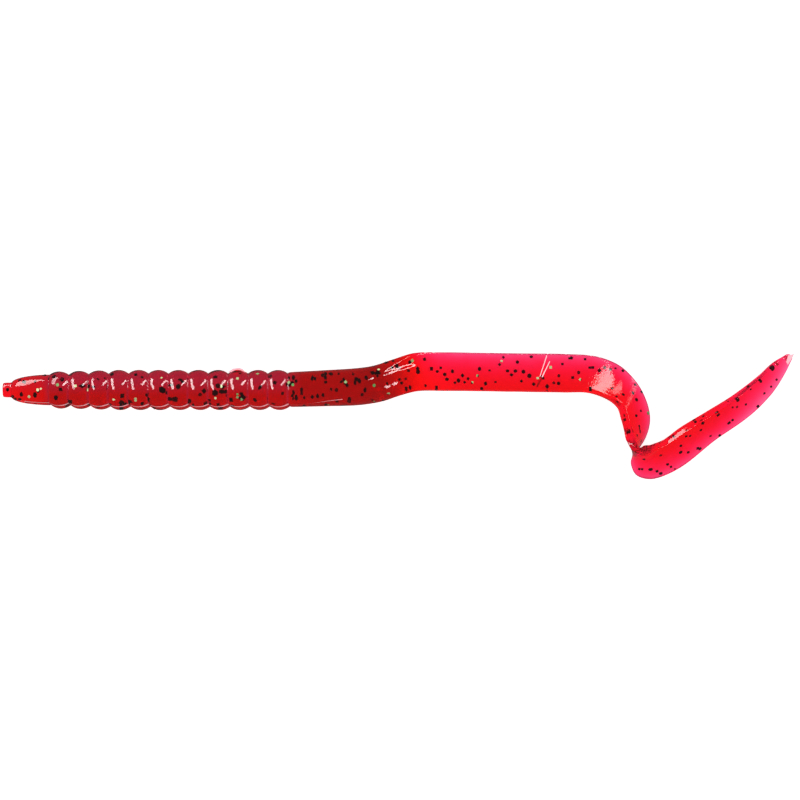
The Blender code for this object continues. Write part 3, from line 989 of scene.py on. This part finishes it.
def scatter(skin, limits):
    """Flakes for every length of the casting: {(length, colour): Flakes}."""
    dice = random.Random(FLAKE_SEED)
    alongs = np.array([row.along for row in skin.rows])
    spots = []
    for start, end, count in FLAKE_ZONES:
        for i in range(count):
            along = start + (end - start) * (i + dice.random()) / count
            spots.append((along, None, dice.random() < GOLD_SHARE))
    for along, across, count in FLAKE_CLUMPS:
        for _ in range(count):
            near = along + dice.uniform(-CLUMP_RADIUS, CLUMP_RADIUS)
            beside = across + dice.uniform(-CLUMP_RADIUS, CLUMP_RADIUS)
            spots.append((near, beside, dice.random() < CLUMP_GOLD_SHARE))
    flakes = {}
    for along, across, gold in spots:
        i = int(np.argmin(abs(alongs - along)))
        row = skin.rows[i]
        colour = "gold" if gold else "black"
        radius = dice.uniform(*FLAKE_SIZES[colour])
        room = row.sizes[0] - EDGE_ROOM * radius
        if across is None:
            across = dice.uniform(-room, room)
        across = max(-room, min(room, across))
        tall = half_thickness_at(row, across)
        thin_here = tall < THIN_WALL
        if gold:
            up = tall + GOLD_STANDS_OUT
            tilt = dice.uniform(0.0, GOLD_TILT)
        else:
            up = dice.uniform(*DEPTHS) * max(0.0, tall - SKIN_OVER_FLAKE)
            tilt = dice.uniform(0.0, THIN_TILT if thin_here else THICK_TILT)
        facing = row.up
        if gold and not thin_here:
            facing = (row.across * across + row.up * tall).normalized()
        centre = row.centre + row.across * across + row.up * up
        normal = tilted(facing, row, tilt, dice.uniform(0, 2 * math.pi))
        sides = 6 if dice.random() < HEXAGON_SHARE else 4
        length = next(k for k, limit in enumerate(limits[1:]) if i <= limit)
        group = flakes.setdefault((length, colour), Flakes())
        stretch = dice.uniform(*FLAKE_STRETCH)
        spin = dice.choice((0, math.pi / 4, dice.uniform(0, 3)))
        group.add(centre, normal, radius, stretch, sides, spin)
    return flakes


def add_glitter(skin, chain):
    """One piece for each colour in each length of the casting."""
    limits = [0] + skin.cuts + [len(skin.rows) - 1]
    materials = {"black": black_glitter(), "gold": gold_glitter()}
    for (length, colour), group in sorted(scatter(skin, limits).items()):
        before, after = chain[max(0, length - 1)], chain[min(length, len(chain) - 1)]
        piece = group.make(f"{colour}_flakes_{length:02d}", materials[colour])
        if length in (0, len(limits) - 2):
            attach(piece, after)
        else:
            start, finish = skin.blend_span(length - 1)
            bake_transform(piece)


# ---- the studio ----

PICTURE_WIDTH = 240.0
PICTURE_CENTRE = (119.1, -3.0)
# The studio itself is in metres
CAMERA_HEIGHT = 1.25
SENSOR = 36.0  # this one is in millimetres
SOFTBOX_DISTANCE = 1.15
# Stretches of the worm that are lit apart: the arc is the ribbon's turn, and the tail comes after it
NOSE, BODY, ARC, TAIL = "nose", "body", "arc", "tail"
FIRST_OF_THE_TAIL = 8
# Softboxes: (name, (degrees round from straight behind the worm, degrees up) of one end, the same of the
# other end, width, radiance, the stretch of the worm that it lights)
SOFTBOXES = (
    ("softbox_left", (-84, 56), (-38, 5), 0.24, 14.0, BODY),
    ("softbox_right", (40, 54), (43, 5), 0.17, 15.0, BODY),
    ("softbox_nose", (-50, 34), (-18, 1), 0.48, 9.0, NOSE),
    ("softbox_behind", (-10, 38), (24, 33), 0.2, 9.0, ARC),
    ("strip_behind", (8, 25), (32, 18), 0.12, 4.5, ARC),
    ("strip_beside", (52, 9), (60, 1), 0.12, 3.0, ARC),
    ("softbox_tail", (-38, 2), (-9, 62), 0.44, 8.0, TAIL),
)
TABLE_WIDTH = 6.0
TABLE_GAP = 0.00005
TABLE_ROUGHNESS = 0.7
TABLE_GLOSS = 0.1
FLOOR_GLOW = 0.85
ROOM_LIGHT = 0.45
# The worm stands out best when its gloss mirrors little but the softboxes
MIRRORED_ROOM = 0.18
MIRRORED_TABLE = 0.1
TABLE_WHITE = 0.93


def unless_mirrored(tree, value, mirrored_value):
    """A value that differs where a glossy surface mirrors it. Seen through the plastic it is the first."""
    path = add_node(tree, "ShaderNodeLightPath")
    mirrored = add_node(tree, "ShaderNodeMath", operation="SUBTRACT", use_clamp=True)
    tree.links.new(path.outputs["Is Glossy Ray"], mirrored.inputs[0])
    tree.links.new(path.outputs["Is Transmission Ray"], mirrored.inputs[1])
    return mapped(tree, mirrored.outputs[0], value, mirrored_value)


def add_floor():
    """A white light table, which glows."""
    mesh = bpy.data.meshes.new("table")
    half = TABLE_WIDTH / 2
    corners = [(-half, -half, 0), (half, -half, 0), (half, half, 0), (-half, half, 0)]
    mesh.from_pydata(corners, [], [(0, 1, 2, 3)])
    material, tree, shader = new_material("white_table")
    tree.links.new(unless_mirrored(tree, TABLE_WHITE, MIRRORED_TABLE), shader.inputs["Base Color"])
    tree.links.new(unless_mirrored(tree, FLOOR_GLOW, MIRRORED_TABLE), shader.inputs["Emission Strength"])
    shader.inputs["Roughness"].default_value = TABLE_ROUGHNESS
    shader.inputs["Specular IOR Level"].default_value = TABLE_GLOSS
    shader.inputs["Emission Color"].default_value = (1, 1, 1, 1)
    mesh.materials.append(material)
    floor = add_object("table", mesh)
    floor.location.z = min(0.0, cad_box[0].z) - TABLE_GAP


def direction(turn, elevation):
    """The direction that is turned from straight behind the worm, and raised, by so many degrees."""
    turn, elevation = math.radians(turn), math.radians(elevation)
    flat = math.cos(elevation)
    return Vector((math.sin(turn) * flat, math.cos(turn) * flat, math.sin(elevation)))


def stretch_of(name):
    """The stretch of the worm that a piece belongs to, for lighting. Films and glitter count as the body."""
    if name in ("nose", "skin_head_to_ring_01"):
        return NOSE
    if not name.startswith("skin_ribbon_"):
        return BODY
    number = int(name.split("_")[2])
    return ARC if number < FIRST_OF_THE_TAIL else TAIL


def add_softbox(name, end, other_end, width, radiance, stretch):
    """A softbox that shines on a stretch of the worm, between two directions."""
    first, second = (direction(*spot) * SOFTBOX_DISTANCE for spot in (end, other_end))
    middle, span = (first + second) / 2, first - second
    light = bpy.data.lights.new(name, "AREA")
    light.shape = "RECTANGLE"
    light.size, light.size_y = width, span.length
    light.energy = radiance * math.pi * width * span.length
    lamp = bpy.data.objects.new(name, light)
    back, along = middle.normalized(), span.normalized()
    turned = Matrix((along.cross(back), along, back)).transposed()
    lamp.matrix_world = Matrix.LocRotScale(middle, turned, None)
    lamp.visible_camera = False
    bpy.context.scene.collection.objects.link(lamp)
    lit = bpy.data.collections.new(f"lit_by_{name}")
    for piece in bpy.context.scene.collection.objects:
        if piece.type == "MESH" and piece.name != "table" and stretch_of(piece.name) == stretch:
            lit.objects.link(piece)
    lamp.light_linking.receiver_collection = lit


def add_room():
    """A softly lit room, which the camera sees as plain white."""
    room = bpy.data.worlds.new("room")
    bpy.context.scene.world = room
    room.use_nodes = True
    tree = room.node_tree
    background = tree.nodes["Background"]
    background.inputs["Color"].default_value = (1, 1, 1, 1)
    path = add_node(tree, "ShaderNodeLightPath")
    brighter = add_node(tree, "ShaderNodeMath", operation="MAXIMUM")
    tree.links.new(path.outputs["Is Camera Ray"], brighter.inputs[0])
    tree.links.new(unless_mirrored(tree, ROOM_LIGHT, MIRRORED_ROOM), brighter.inputs[1])
    tree.links.new(brighter.outputs[0], background.inputs["Strength"])


def add_camera():
    """The camera looks straight down at the table."""
    data = bpy.data.cameras.new("camera")
    data.sensor_width = SENSOR
    data.lens = SENSOR * CAMERA_HEIGHT / (PICTURE_WIDTH * MM)
    camera = bpy.data.objects.new("camera", data)
    bpy.context.scene.collection.objects.link(camera)
    above = world((*PICTURE_CENTRE, RING_RADIUS))
    camera.location = above + Vector((0, 0, CAMERA_HEIGHT))
    bpy.context.scene.camera = camera


chain, joints = chain_of_joints()
route = Route()
worm = Skin(front_rows() + rear_rows(route), joints)
add_skin(worm, chain)
for film in FILMS:
    add_film(*film)
add_glitter(worm, chain)
add_floor()
for softbox in SOFTBOXES:
    add_softbox(*softbox)
add_room()
add_camera()
bpy.context.scene.view_settings.view_transform = "Standard"
